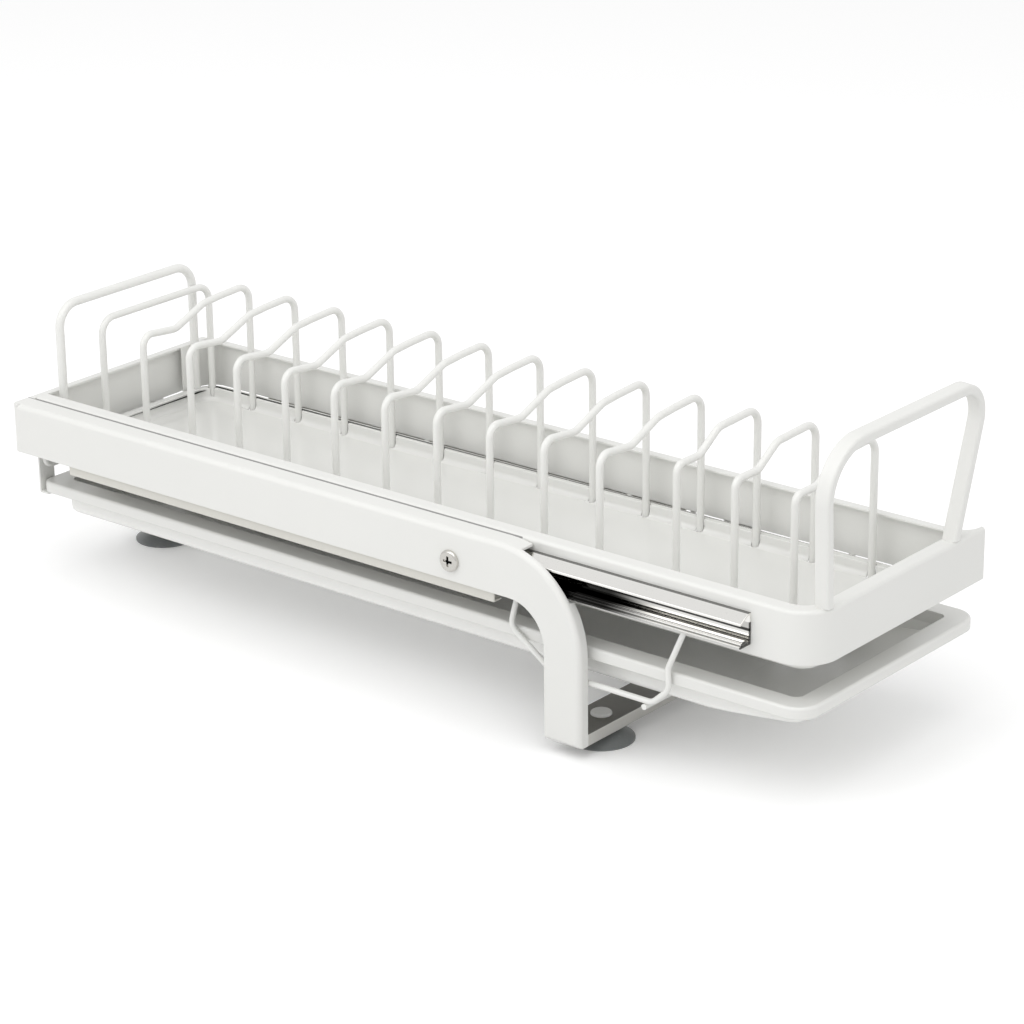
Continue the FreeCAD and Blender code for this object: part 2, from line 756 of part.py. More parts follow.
def make_hoop(x, near_side, shelf_points, bends):
    """One plate hoop: a leg at each side and a top that dips towards the near leg."""
    ends = [Vector(x, near_side, hoop_foot)]
    ends += [Vector(x, y, z) for y, z in shelf_points]
    ends.append(Vector(x, hoop_far, hoop_foot))
    return bent_wire(ends, bends, hoop_wire)


def make_wide_hoop(x):
    """A hoop over the drawer's main width, for dinner plates."""
    top = hoop_top - hoop_radius
    shelf = top - shelf_drop
    points = [(hoop_near, shelf), (hoop_far - slope_foot_from_far, shelf - shelf_sag),
              (hoop_far - slope_head_from_far, top - crest_drop),
              (hoop_far - crest_from_far, top - crest_drop / 2), (hoop_far, top)]
    return make_hoop(x, hoop_near, points, [near_bend, slope_bend, slope_bend, slope_bend, far_bend])


def make_narrow_hoop(x):
    """A hoop whose near leg stands further in, for bowls at the drawer's front."""
    top = hoop_top - hoop_radius
    shelf = top - shelf_drop - shelf_sag
    points = [(narrow_near, shelf), (hoop_far - narrow_foot_from_far, shelf),
              (hoop_far - narrow_head_from_far, top - crest_drop / 2), (hoop_far, top)]
    return make_hoop(x, narrow_near, points, [narrow_bend, narrow_slope_bend, slope_bend, far_bend])


def make_square_hoop(x, y0, y1, foot, top, bend, diameter):
    """A plain hoop with a level top."""
    centre = top - diameter / 2
    points = [Vector(x, y0, foot), Vector(x, y0, centre), Vector(x, y1, centre), Vector(x, y1, foot)]
    return bent_wire(points, [bend, bend], diameter)


def make_base_wire(x0, x1, y):
    """A straight wire under the insert that a row of legs stands on."""
    return Part.makeCylinder(hoop_radius, x1 - x0, Vector(x0, y, base_wire_height), Vector(1, 0, 0))


def make_cross_wire(x):
    """A wire across the drawer, its ends turned up to meet the lower edges of the walls. In
    front of the stand, where its near end would show, it stops under the front wire."""
    y0 = drawer_side + drawer_sheet / 2
    y1 = far_wall_at(x)
    turn = [Vector(x, y1, cross_wire_height), Vector(x, y1, drawer_bottom)]
    if x > leg_front:
        return bent_wire([Vector(x, narrow_near - wire_end, cross_wire_height)] + turn,
                         [cross_wire_bend], cross_wire)
    return bent_wire([Vector(x, y0, drawer_bottom), Vector(x, y0, cross_wire_height)] + turn,
                     [cross_wire_bend, cross_wire_bend], cross_wire)


def handle_outline(grow):
    """The handle's outline across the rack. It runs on below the drawer's front fold, where
    the strip is trimmed."""
    top = handle_top - handle_thickness / 2 + grow
    low = drawer_top - handle_trim
    lead = handle_trim / (handle_top - drawer_top)
    corners = [Vector(0, handle_base_near + lead * handle_flare_near - grow, low),
               Vector(0, handle_base_near - handle_flare_near - grow, top),
               Vector(0, handle_base_far + handle_flare_far + grow, top),
               Vector(0, handle_base_far - lead * handle_flare_far + grow, low)]
    path = rounded_path(corners, [handle_bend_near + grow, handle_bend_far + grow])
    closing = Part.LineSegment(corners[-1], corners[0]).toShape()
    return Part.Face(Part.Wire(path.Edges + [closing]))


def make_handle():
    """A flat strip bent into a hoop that flares and leans forward."""
    half = handle_thickness / 2
    strip = handle_outline(half).cut(handle_outline(-half)).extrude(Vector(handle_width, 0, 0))
    long_edges = [e for e in strip.Edges if e.Length > handle_width * 1.5]
    strip = strip.makeFillet(handle_edge_round, long_edges)
    strip.translate(Vector(drawer_front - handle_from_front - handle_width / 2, 0, 0))
    strip.rotate(Vector(drawer_front - handle_from_front, 0, drawer_top), Vector(0, 1, 0), handle_lean)
    return strip.cut(box(0, 2 * drawer_front, -stand_width, 2 * stand_width, 0, drawer_top))


def tray_slab(inset, corner, z0, z1):
    """The lower tray's outline seen from above, stood up between two heights: a rectangle that
    widens towards the far side at its front, as the drawer does."""
    x0 = tray_back + inset
    x1 = tray_front - inset
    ear = tray_front - tray_ear_length + inset
    y0 = tray_side_gap + inset
    y1 = stand_width - tray_side_gap - inset
    out = y1 + tray_ear_reach
    return slab([(x0, y0), (x1, y0), (x1, out), (ear, out), (ear, y1), (x0, y1)],
                [corner[0], corner[1], corner[1], tray_ear_round, tray_ear_round, corner[0]], z0, z1)


def tray_ramp(lift):
    """What lies under the slope that the tray's floor climbs towards the front."""
    start = tray_front - ramp_length - tray_rim + tray_wall
    end = tray_front
    low = tray_bottom + lift
    rise = ramp_rise * (end - start) / ramp_length
    corners = [(start, low), (end, low + rise), (end, low - tray_top), (start, low - tray_top)]
    points = [Vector(x, 0, z) for x, z in corners + corners[:1]]
    return Part.Face(Part.makePolygon(points)).extrude(Vector(0, 2 * stand_width, 0))


def make_lower_tray():
    """A moulded tray with a flat rim turned down into a lip."""
    lip_corners = (tray_back_corner, tray_front_corner)
    rim = tray_slab(0.0, lip_corners, tray_top - tray_lip, tray_top)
    rim = rim.makeFillet(tray_rim_round, edges_at(rim, lambda p: near(p.z, tray_top)))
    under = tray_slab(tray_lip_wall, [c - tray_lip_wall for c in lip_corners],
                      tray_top - tray_lip - 1, tray_top - tray_lip_wall)
    skin = tray_rim - tray_wall
    body_corners = (tray_body_corner, tray_body_corner)
    body = tray_slab(skin, body_corners, tray_bottom, tray_top - tray_lip_wall)
    body = body.makeFillet(tray_floor_round, edges_at(body, lambda p: near(p.z, tray_bottom)))
    body = body.cut(tray_ramp(0.0))
    well_corners = [c - tray_wall for c in body_corners]
    well = tray_slab(tray_rim, well_corners, tray_bottom + tray_wall, tray_top + 1)
    well = well.cut(tray_ramp(tray_wall))
    return fuse_all([rim.cut(under), body]).cut(well)


def make_bail(side):
    """A bowed wire that hangs from the moving rail and runs level beside the lower tray."""
    y = bail_from_side
    bar = tray_bottom + bail_wire / 2
    top = rail_bottoms[side]
    points = [Vector(bail_front_top, y, top + bail_wire), Vector(bail_front_knee, y, bail_front_knee_height),
              Vector(bail_front_low, y, bail_front_low_height),
              Vector(bail_bar_front, y, bar), Vector(bail_bar_rear, y, bar),
              Vector(bail_rear_low, y, bail_rear_low_height), Vector(bail_rear_top, y, top + bail_wire)]
    wire = bent_wire(points, [bail_bend] * (len(points) - 2), bail_wire)
    wire = wire.cut(box(bail_rear_low, bail_front_top + 2 * bail_wire, 0, 2 * y, top, top + 4 * bail_wire))
    return at_side(wire, side)


def make_cradle_wires():
    """Two wires under the near and the far bail's bars that the lower tray lies on."""
    y0 = bail_from_side - bail_wire / 2
    return [cross_disc(x, y0, stand_width - y0, tray_bottom - bail_wire / 2, bail_wire)
            for x in (bail_bar_rear + cradle_wire_inset, bail_bar_front - cradle_wire_inset)]


def make_hanger(side):
    """A strip from the drawer's return down behind the lower tray, with a foot under its lip."""
    x0 = drawer_back
    y0 = hanger_from_side
    if side == "far":
        y0 = drawer_far_side - drawer_back_corner - hanger_width
    foot_z = tray_top - tray_lip - hanger_gap
    strip = box(x0, x0 + hanger_sheet, y0, y0 + hanger_width, foot_z - hanger_sheet, drawer_bottom)
    foot = box(x0, x0 + hanger_foot, y0, y0 + hanger_width, foot_z - hanger_sheet, foot_z)
    hanger = fuse_all([strip, foot])
    bend = edges_at(hanger, lambda p: near(p.x, x0) and near(p.z, foot_z - hanger_sheet))
    return hanger.makeFillet(hanger_sheet, bend)


def make_nodes():
    """Every sub-part by the name of its node, as a list of separate solids."""
    nodes = {"stand_frame": [make_stand_frame()],
             "front_foot_plate": [make_front_foot()],
             "rear_foot_bracket": [make_rear_foot()]}
    cup_names = ("front_near", "front_far", "rear")
    for name, place in zip(cup_names, cup_places()):
        nodes["suction_cup_" + name] = [make_suction_cup(place)]
    nodes["cup_studs"] = [make_cup_stud(place) for place in cup_places()]
    for side in ("near", "far"):
        nodes["slide_carrier_" + side] = [make_carrier(side)]
        nodes["fixed_rail_" + side] = [make_fixed_rail(side)]
        nodes["ball_cage_" + side] = [make_ball_cage(side)]
        nodes["slide_balls_" + side] = make_balls(side)
        nodes["moving_rail_" + side] = [make_moving_rail(side)]
        nodes["cradle_bail_" + side] = [make_bail(side)]
        nodes["tray_hanger_" + side] = [make_hanger(side)]
    nodes["rail_rivets"] = make_rivets("near") + make_rivets("far")
    nodes["side_screws"] = [make_screw("near"), make_screw("far")]
    nodes["drawer_frame"] = [make_drawer_frame()]
    nodes["drip_insert"] = [make_drip_insert()]
    nodes["rear_hoop"] = [make_square_hoop(rear_hoop_place, rear_hoop_near, rear_hoop_far,
                                           cross_wire_height + cross_wire / 2, rear_hoop_top,
                                           rear_hoop_bend, rear_hoop_wire)]
    nodes["plain_hoop"] = [make_square_hoop(plain_hoop_place, hoop_near, hoop_far, hoop_foot,
                                            plain_hoop_top, plain_bend, hoop_wire)]
    places = hoop_places()
    for i, x in enumerate(places):
        make = make_wide_hoop if i < wide_hoops else make_narrow_hoop
        nodes[f"plate_hoop_{i + 1:02d}"] = [make(x)]
    wire_back = rear_hoop_place - cross_wire / 2
    nodes["base_wire_near"] = [make_base_wire(wire_back, places[wide_hoops - 1] + wire_end, hoop_near)]
    nodes["base_wire_front"] = [make_base_wire(places[wide_hoops] - wire_end, places[-1] + wire_end,
                                               narrow_near)]
    nodes["base_wire_far"] = [make_base_wire(wire_back, places[-1] + wire_end, hoop_far)]
    nodes["cross_wires"] = [make_cross_wire(x) for x in cross_wire_places()]
    nodes["front_handle"] = [make_handle()]
    nodes["cradle_wires"] = make_cradle_wires()
    nodes["lower_tray"] = [make_lower_tray()]
    return nodes


def main():
    """Writes one file per node, moved so that the origin lies under the rack's middle."""
    os.makedirs("parts", exist_ok=True)
    to_origin = Vector(-overall_mid_x, -overall_mid_y, 0)
    for name, solids in make_nodes().items():
        shape = solids[0] if len(solids) == 1 else Part.makeCompound(solids)
        shape = shape.copy()
        shape.translate(to_origin)
        shape.exportStep(f"parts/{name}.step")


main()
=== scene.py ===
import json
import math

import bmesh
import bpy
from mathutils import Matrix, Vector


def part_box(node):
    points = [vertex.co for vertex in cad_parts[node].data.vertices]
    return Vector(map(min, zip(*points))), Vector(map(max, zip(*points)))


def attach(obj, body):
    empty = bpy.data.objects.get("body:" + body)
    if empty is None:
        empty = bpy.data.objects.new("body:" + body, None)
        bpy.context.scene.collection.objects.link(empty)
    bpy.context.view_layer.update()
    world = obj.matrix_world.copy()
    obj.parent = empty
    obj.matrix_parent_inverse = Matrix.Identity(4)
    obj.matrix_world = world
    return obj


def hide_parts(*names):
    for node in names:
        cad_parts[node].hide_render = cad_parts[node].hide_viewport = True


# A pull-out dish rack on a pale floor. Metres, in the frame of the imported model.
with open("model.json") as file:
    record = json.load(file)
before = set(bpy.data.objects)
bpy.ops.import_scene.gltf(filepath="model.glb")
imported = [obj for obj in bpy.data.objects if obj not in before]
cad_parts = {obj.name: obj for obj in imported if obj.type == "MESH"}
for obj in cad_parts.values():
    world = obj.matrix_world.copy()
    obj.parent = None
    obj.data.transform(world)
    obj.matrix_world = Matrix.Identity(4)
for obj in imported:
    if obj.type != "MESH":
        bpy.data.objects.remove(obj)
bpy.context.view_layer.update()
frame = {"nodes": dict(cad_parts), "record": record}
mm = 0.001

# Camera
camera_place = Vector((1078.0, -1278.6, 710.9)) * mm
camera_turn = 39.51
camera_dip = 20.75
camera_roll = -0.68
camera_lens = 119.2
camera_sensor = 36

# Wire
wire_sides = 20
bend_steps = 10
shelf_drop = 9.0 * mm
shelf_sag = 2.6 * mm
crest_drop = 2.4 * mm
slope_foot_from_far = 60 * mm
slope_head_from_far = 37 * mm
crest_from_far = 24 * mm
narrow_foot_from_far = 50 * mm
narrow_head_from_far = 34 * mm
near_bend = 6.5 * mm
narrow_bend = 4.5 * mm
narrow_slope_bend = 7.5 * mm
far_bend = 8.5 * mm
slope_bend = 11 * mm
plain_bend = 9 * mm
rear_hoop_bend = 13 * mm
wide_hoops = 10
narrow_hoops = 3

# Rail, seam and screw, with painted reflections and painted shade. The stripes are pairs of place up the
# rail and grey: painted reflections and painted shade of the rail's steps, with a dark painted shade
# line at its top edge.
rail_painted_reflections = ((0.0, 0.75), (0.055, 0.75), (0.07, 0.10), (0.09, 0.95), (0.14, 0.95), (0.16, 0.10),
                (0.18, 0.95), (0.24, 0.95), (0.25, 0.40), (0.265, 0.40), (0.28, 0.90), (0.41, 0.86),
                (0.43, 0.05), (0.50, 0.05), (0.52, 0.60), (0.69, 0.60), (0.70, 0.98), (0.985, 0.98),
                (0.995, 0.22), (1.0, 0.22))
rail_lip = (0.69, 0.72)
rail_painted_shade_share = 0.02
rail_end_painted_shade_share = 0.15
# Painted shade and painted reflection: the rail's dark stripes, its end and its part towards the housing
# blend into this black.
rail_painted_shade_black = (0.012, 0.012, 0.011)
rail_painted_shade_from = 96 * mm
rail_painted_shade_until = 142 * mm
rail_painted_shade_gone_by = 178 * mm
rail_end_painted_shade_width = 0.6 * mm
seam_gap = 0.5 * mm
seam_depth = 1.2 * mm
seam_end = 87 * mm
seam_reach = 0.4 * mm
# Painted shade on the faces in the seam between the stand and the drawer.
seam_painted_shade = (0.34, 0.34, 0.33)
recess_depth = 0.45 * mm
recess_radius = 2.1 * mm
# Painted shade in the screw's cross recess.
recess_painted_shade = (0.01, 0.01, 0.01)

# Foot plate and tray
# Painted shade: the foot plate's flat top under the tray is darker than its folded front.
plate_top_painted_shade = (0.20, 0.195, 0.18)
plate_top_painted_shade_band = (0.3 * mm, 0.05 * mm)
# The tray's well is painted lighter than its rim: painted light in the shaded well.
tray_well_top = 50.5 * mm
tray_rim_rise = 1 * mm
tray_rim_color = (0.78, 0.78, 0.755)

# Coats and metals
grain_detail = 3
wave_detail = 2
speck_detail = 1
speck_range = (0.62, 0.75)
speck_share = 0.05
pale_speck = (0.7, 0.7, 0.68, 1)
dark_speck = (0.3, 0.3, 0.3, 1)
metal_patches = 40.0
coat_roughness = 0.12
coat_bump = 0.25
metal_bump = 0.15

# Edges
soft_edge = 0.35 * mm
thin_edge = 0.25 * mm
fine_edge = 0.15 * mm
sharp_angle = math.radians(35)
flat_angle = math.radians(0.2)
edge_segments = 2
merge_distance = 0.002 * mm
flat_weight = 100

# Floor, sky and lights. A light is its name, place, size in metres and power in watts.
floor_size = 14
floor_bounce = 0.80
floor_seen = 1.06
floor_mirrored = 0.86
floor_lift = 0.03
sky_low = 1.12
sky_high = 0.64
light_target = (0, 0, 0.08)
lights = (("key", (-0.8, -1.5, 1.4), 1.3, 6),
          ("top", (0.35, -0.6, 1.7), 1.6, 10))


def plain_mesh(obj, name):
    """The evaluated object as one plain mesh, with its modifiers gone."""
    depsgraph = bpy.context.evaluated_depsgraph_get()
    mesh = bpy.data.meshes.new_from_object(obj.evaluated_get(depsgraph))
    mesh.name = name
    made = bpy.data.objects.new(name, mesh)
    bpy.context.scene.collection.objects.link(made)
    bpy.data.objects.remove(obj)
    return made


def smooth(obj):
    """Smooth shading that stops at real edges."""
    obj.data.polygons.foreach_set("use_smooth", [True] * len(obj.data.polygons))
    obj.data.set_sharp_from_angle(angle=sharp_angle)
    obj.data.update()


def held_in(obj, low, high):
    """Brings back what an edge's softening pushed out of the solid's box."""
    for vertex in obj.data.vertices:
        vertex.co = [min(max(value, least), most) for value, least, most in zip(vertex.co, low, high)]


def place(obj, body, nodes):
    """Attaches a finished piece to its body and hides the solids that it stands for."""
    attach(obj, body)
    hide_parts(*nodes)


# Shader groups
def shader_group(name, inputs, outputs):
    """An empty shader group with named sockets, and its two end nodes."""
    group = bpy.data.node_groups.new(name, "ShaderNodeTree")
    for label, kind, value in inputs:
        socket = group.interface.new_socket(label, in_out="INPUT", socket_type=kind)
        if value is not None:
            socket.default_value = value
    for label, kind in outputs:
        group.interface.new_socket(label, in_out="OUTPUT", socket_type=kind)
    return group, group.nodes.new("NodeGroupInput"), group.nodes.new("NodeGroupOutput")


def noise_node(tree, vector, scale, detail):
    """A noise texture on the given coordinates."""
    noise = tree.nodes.new("ShaderNodeTexNoise")
    noise.inputs["Detail"].default_value = detail
    tree.links.new(vector, noise.inputs["Vector"])
    tree.links.new(scale, noise.inputs["Scale"])
    return noise.outputs["Fac"]


def feed(tree, socket, value):
    """Gives a socket a number or another node's output."""
    if isinstance(value, (int, float)):
        socket.default_value = value
    else:
        tree.links.new(value, socket)


def math_node(tree, operation, a, b=0.0):
    """One sum, product or the like of two sockets or numbers."""
    node = tree.nodes.new("ShaderNodeMath")
    node.operation = operation
    feed(tree, node.inputs[0], a)
    feed(tree, node.inputs[1], b)
    return node.outputs[0]


def split_node(tree, vector):
    """The three parts of a vector."""
    split = tree.nodes.new("ShaderNodeSeparateXYZ")
    tree.links.new(vector, split.inputs["Vector"])
    return split.outputs


def mix_node(tree, share, first, second):
    """A blend of two colours, of which the second may be a plain one."""
    blend = tree.nodes.new("ShaderNodeMix")
    blend.data_type = "RGBA"
    tree.links.new(share, blend.inputs["Factor"])
    tree.links.new(first, blend.inputs["A"])
    if isinstance(second, tuple):
        blend.inputs["B"].default_value = (*second, 1)
    else:
        tree.links.new(second, blend.inputs["B"])
    return blend.outputs["Result"]


def ramp_node(tree, value, stops):
    """A grey ramp over a value, from pairs of place and grey."""
    ramp = tree.nodes.new("ShaderNodeValToRGB")
    band = ramp.color_ramp
    while len(band.elements) < len(stops):
        band.elements.new(0.5)
    for element, (position, grey) in zip(band.elements, stops):
        element.position = position
        element.color = (grey, grey, grey, 1)
    tree.links.new(value, ramp.inputs["Fac"])
    return ramp.outputs["Color"]


def range_node(tree, value, low, high, start=0.0, stop=1.0):
    """A smooth step of a value from start at low to stop at high."""
    step = tree.nodes.new("ShaderNodeMapRange")
    step.interpolation_type = "SMOOTHSTEP"
    for label, item in (("Value", value), ("From Min", low), ("From Max", high),
                        ("To Min", start), ("To Max", stop)):
        feed(tree, step.inputs[label], item)
    return step.outputs["Result"]


def build_coating_group():
    """A coat's fine grain and slow unevenness: a height for the bump and a shift of gloss."""
    group, start, end = shader_group(
        "Coating grain",
        [("Vector", "NodeSocketVector", None), ("Grain", "NodeSocketFloat", 900.0),
         ("Waves", "NodeSocketFloat", 60.0), ("Wave share", "NodeSocketFloat", 0.4),
         ("Roughness", "NodeSocketFloat", 0.3), ("Gloss change", "NodeSocketFloat", 0.05)],
        [("Height", "NodeSocketFloat"), ("Roughness", "NodeSocketFloat")])
    vector = start.outputs["Vector"]
    grain = noise_node(group, vector, start.outputs["Grain"], grain_detail)
    waves = noise_node(group, vector, start.outputs["Waves"], wave_detail)
    high_waves = math_node(group, "MULTIPLY", waves, start.outputs["Wave share"])
    group.links.new(math_node(group, "ADD", grain, high_waves), end.inputs["Height"])
    centred = math_node(group, "SUBTRACT", waves, 0.5)
    change = math_node(group, "MULTIPLY", centred, start.outputs["Gloss change"])
    group.links.new(math_node(group, "ADD", start.outputs["Roughness"], change), end.inputs["Roughness"])
    return group


def build_tone_group():
    """A colour that drifts slowly towards a second one, with fine specks of a third."""
    group, start, end = shader_group(
        "Slow tone",
        [("Vector", "NodeSocketVector", None), ("Color", "NodeSocketColor", (1, 1, 1, 1)),
         ("Shade", "NodeSocketColor", (1, 1, 1, 1)), ("Speck", "NodeSocketColor", (1, 1, 1, 1)),
         ("Patches", "NodeSocketFloat", 12.0), ("Specks", "NodeSocketFloat", 700.0),
         ("Speck share", "NodeSocketFloat", 0.1)],
        [("Color", "NodeSocketColor")])
    vector = start.outputs["Vector"]
    patches = noise_node(group, vector, start.outputs["Patches"], wave_detail)
    drifted = mix_node(group, patches, start.outputs["Color"], start.outputs["Shade"])
    specks = noise_node(group, vector, start.outputs["Specks"], speck_detail)
    strong = ramp_node(group, specks, ((speck_range[0], 0), (speck_range[1], 1)))
    mask = math_node(group, "MULTIPLY", strong, start.outputs["Speck share"])
    flecked = mix_node(group, mask, drifted, start.outputs["Speck"])
    group.links.new(flecked, end.inputs["Color"])
    return group


def build_drawn_group():
    """Fine lines along X, as a roll or a draw die leaves them."""
    group, start, end = shader_group(
        "Drawn lines",
        [("Vector", "NodeSocketVector", None), ("Stretch", "NodeSocketFloat", 0.01),
         ("Lines", "NodeSocketFloat", 1500.0), ("Roughness", "NodeSocketFloat", 0.1),
         ("Gloss change", "NodeSocketFloat", 0.1)],
        [("Height", "NodeSocketFloat"), ("Roughness", "NodeSocketFloat")])
    squeeze = group.nodes.new("ShaderNodeVectorMath")
    squeeze.operation = "MULTIPLY"
    factors = group.nodes.new("ShaderNodeCombineXYZ")
    factors.inputs["Y"].default_value = 1.0
    factors.inputs["Z"].default_value = 1.0
    group.links.new(start.outputs["Stretch"], factors.inputs["X"])
    group.links.new(start.outputs["Vector"], squeeze.inputs[0])
    group.links.new(factors.outputs["Vector"], squeeze.inputs[1])
    lines = noise_node(group, squeeze.outputs["Vector"], start.outputs["Lines"], wave_detail)
    group.links.new(lines, end.inputs["Height"])
    change = math_node(group, "MULTIPLY", lines, start.outputs["Gloss change"])
    group.links.new(math_node(group, "ADD", start.outputs["Roughness"], change), end.inputs["Roughness"])
    return group


def build_stripes_group():
    """Painted reflections and painted shade: the bright and dark stripes that a rolled rail's steps
    reflect, painted black where it runs into its housing and in a thin line at its end."""
    group, start, end = shader_group(
        "Painted rail reflections and shade",
        [("Vector", "NodeSocketVector", None), ("Bottom", "NodeSocketFloat", 0.0),
         ("Height", "NodeSocketFloat", 0.016), ("Painted shade from", "NodeSocketFloat", 0.0),
         ("Painted shade until", "NodeSocketFloat", 0.0), ("Painted shade gone by", "NodeSocketFloat", 0.1),
         ("End", "NodeSocketFloat", 1.0)],
        [("Shade", "NodeSocketFloat")])
    place_of = split_node(group, start.outputs["Vector"])
    lift = math_node(group, "SUBTRACT", place_of["Z"], start.outputs["Bottom"])
    share = math_node(group, "DIVIDE", lift, start.outputs["Height"])
    stripes = ramp_node(group, share, rail_painted_reflections)
    outside = range_node(group, place_of["X"], start.outputs["Painted shade until"],
                         start.outputs["Painted shade gone by"], rail_painted_shade_share)
    hidden = math_node(group, "LESS_THAN", place_of["X"], start.outputs["Painted shade from"])
    lit = math_node(group, "MAXIMUM", outside, hidden)
    on_lip = range_node(group, share, *rail_lip)
    before_end = math_node(group, "LESS_THAN", place_of["X"], start.outputs["End"])
    end_line = math_node(group, "MAXIMUM", before_end, rail_end_painted_shade_share)
    lit_web = math_node(group, "MULTIPLY", lit, end_line)
    inside = math_node(group, "MAXIMUM", lit_web, on_lip)
    group.links.new(math_node(group, "MULTIPLY", stripes, inside), end.inputs["Shade"])
    return group


def build_gap_group():
    """Painted shade: dark where a face lies in the near gap: at a plane across the rack, between two
    heights and up to an end along it."""
    group, start, end = shader_group(
        "Painted gap shade",
        [("Vector", "NodeSocketVector", None), ("Plane", "NodeSocketFloat", 0.0),
         ("Low", "NodeSocketFloat", 0.0), ("High", "NodeSocketFloat", 1.0),
         ("End", "NodeSocketFloat", 1.0), ("Reach", "NodeSocketFloat", 0.0002)],
        [("Shade", "NodeSocketFloat")])
    place_of = split_node(group, start.outputs["Vector"])
    from_plane = math_node(group, "ADD", place_of["Y"], start.outputs["Plane"])
    apart = math_node(group, "ABSOLUTE", from_plane)
    at_plane = math_node(group, "LESS_THAN", apart, start.outputs["Reach"])
    above = math_node(group, "GREATER_THAN", place_of["Z"], start.outputs["Low"])
    below = math_node(group, "LESS_THAN", place_of["Z"], start.outputs["High"])
    before = math_node(group, "LESS_THAN", place_of["X"], start.outputs["End"])
    both = math_node(group, "MULTIPLY", math_node(group, "MULTIPLY", above, below), before)
    group.links.new(math_node(group, "MULTIPLY", both, at_plane), end.inputs["Shade"])
    return group


def build_recess_group():
    """A mask for painted shade in what lies deeper than a face and close to an axis across the rack."""
    group, start, end = shader_group(
        "Painted recess shade",
        [("Vector", "NodeSocketVector", None), ("Face", "NodeSocketFloat", 0.0),
         ("Depth", "NodeSocketFloat", 0.0004), ("Axis X", "NodeSocketFloat", 0.0),
         ("Axis Z", "NodeSocketFloat", 0.0), ("Far drop", "NodeSocketFloat", 0.0),
         ("Radius", "NodeSocketFloat", 0.0022)],
        [("Mask", "NodeSocketFloat")])
    place_of = split_node(group, start.outputs["Vector"])
    across = math_node(group, "ABSOLUTE", place_of["Y"])
    sunk = math_node(group, "SUBTRACT", start.outputs["Face"], across)
    deep = math_node(group, "GREATER_THAN", sunk, start.outputs["Depth"])
    along = math_node(group, "SUBTRACT", place_of["X"], start.outputs["Axis X"])
    far_side = math_node(group, "GREATER_THAN", place_of["Y"], 0.0)
    drop = math_node(group, "MULTIPLY", far_side, start.outputs["Far drop"])
    axis = math_node(group, "SUBTRACT", start.outputs["Axis Z"], drop)
    up = math_node(group, "SUBTRACT", place_of["Z"], axis)
    spread = math_node(group, "ADD", math_node(group, "MULTIPLY", along, along),
                       math_node(group, "MULTIPLY", up, up))
    reach = math_node(group, "MULTIPLY", start.outputs["Radius"], start.outputs["Radius"])
    close = math_node(group, "LESS_THAN", spread, reach)
    group.links.new(math_node(group, "MULTIPLY", deep, close), end.inputs["Mask"])
    return group


coating_group = build_coating_group()
tone_group = build_tone_group()
drawn_group = build_drawn_group()
stripes_group = build_stripes_group()
gap_group = build_gap_group()
recess_group = build_recess_group()


def group_node(tree, group, vector, values):
    """A group placed in a material with its own values."""
    node = tree.nodes.new("ShaderNodeGroup")
    node.node_tree = group
    tree.links.new(vector, node.inputs["Vector"])
    for label, value in values.items():
        node.inputs[label].default_value = value
    return node


def new_material(name):
    """A material with its shader and its object coordinates."""
    material = bpy.data.materials.new(name)
    material.use_nodes = True
    tree = material.node_tree
    shader = tree.nodes["Principled BSDF"]
    vector = tree.nodes.new("ShaderNodeTexCoord").outputs["Object"]
    return material, tree, shader, vector


def add_bump(tree, shader, height, strength, distance):
    """Turns a height into the shader's normal."""
    bump = tree.nodes.new("ShaderNodeBump")
    bump.inputs["Strength"].default_value = strength
    bump.inputs["Distance"].default_value = distance
    tree.links.new(height, bump.inputs["Height"])
    tree.links.new(bump.outputs["Normal"], shader.inputs["Normal"])


def coated(name, color, shade, roughness, grain, depth, coat=0.0, waves=60.0, wave_share=0.4,
           speck=pale_speck, specks=speck_share, gloss_change=0.06):
    """Paint, plastic or rubber: a drifting colour, a fine grain and an even sheen."""
    material, tree, shader, vector = new_material(name)
    tone = group_node(tree, tone_group, vector,
                      {"Color": (*color, 1), "Shade": (*shade, 1), "Speck": speck,
                       "Speck share": specks})
    coating = group_node(tree, coating_group, vector,
                         {"Grain": grain, "Waves": waves, "Wave share": wave_share,
                          "Roughness": roughness, "Gloss change": gloss_change})
    tree.links.new(tone.outputs["Color"], shader.inputs["Base Color"])
    tree.links.new(coating.outputs["Roughness"], shader.inputs["Roughness"])
    shader.inputs["Coat Weight"].default_value = coat
    shader.inputs["Coat Roughness"].default_value = coat_roughness
    add_bump(tree, shader, coating.outputs["Height"], coat_bump, depth)
    return material


def bright(name, color, shade, roughness, gloss_change, depth, lines=1500.0, stretch=0.01):
    """Bare or plated metal with fine lines along its length."""
    material, tree, shader, vector = new_material(name)
    tone = group_node(tree, tone_group, vector,
                      {"Color": (*color, 1), "Shade": (*shade, 1), "Patches": metal_patches,
                       "Speck": dark_speck, "Speck share": speck_share})
    drawn = group_node(tree, drawn_group, vector,
                       {"Roughness": roughness, "Gloss change": gloss_change,
                        "Lines": lines, "Stretch": stretch})
    tree.links.new(tone.outputs["Color"], shader.inputs["Base Color"])
    tree.links.new(drawn.outputs["Roughness"], shader.inputs["Roughness"])
    shader.inputs["Metallic"].default_value = 1.0
    add_bump(tree, shader, drawn.outputs["Height"], metal_bump, depth)
    return material


def tinted(material, mask, dark):
    """Mixes a dark colour into a material's own by a mask."""
    tree = material.node_tree
    base = tree.nodes["Principled BSDF"].inputs["Base Color"]
    tree.links.new(mix_node(tree, mask, base.links[0].from_socket, dark), base)


def object_coordinates(material):
    """The material's own object coordinates."""
    return material.node_tree.nodes["Texture Coordinate"].outputs["Object"]


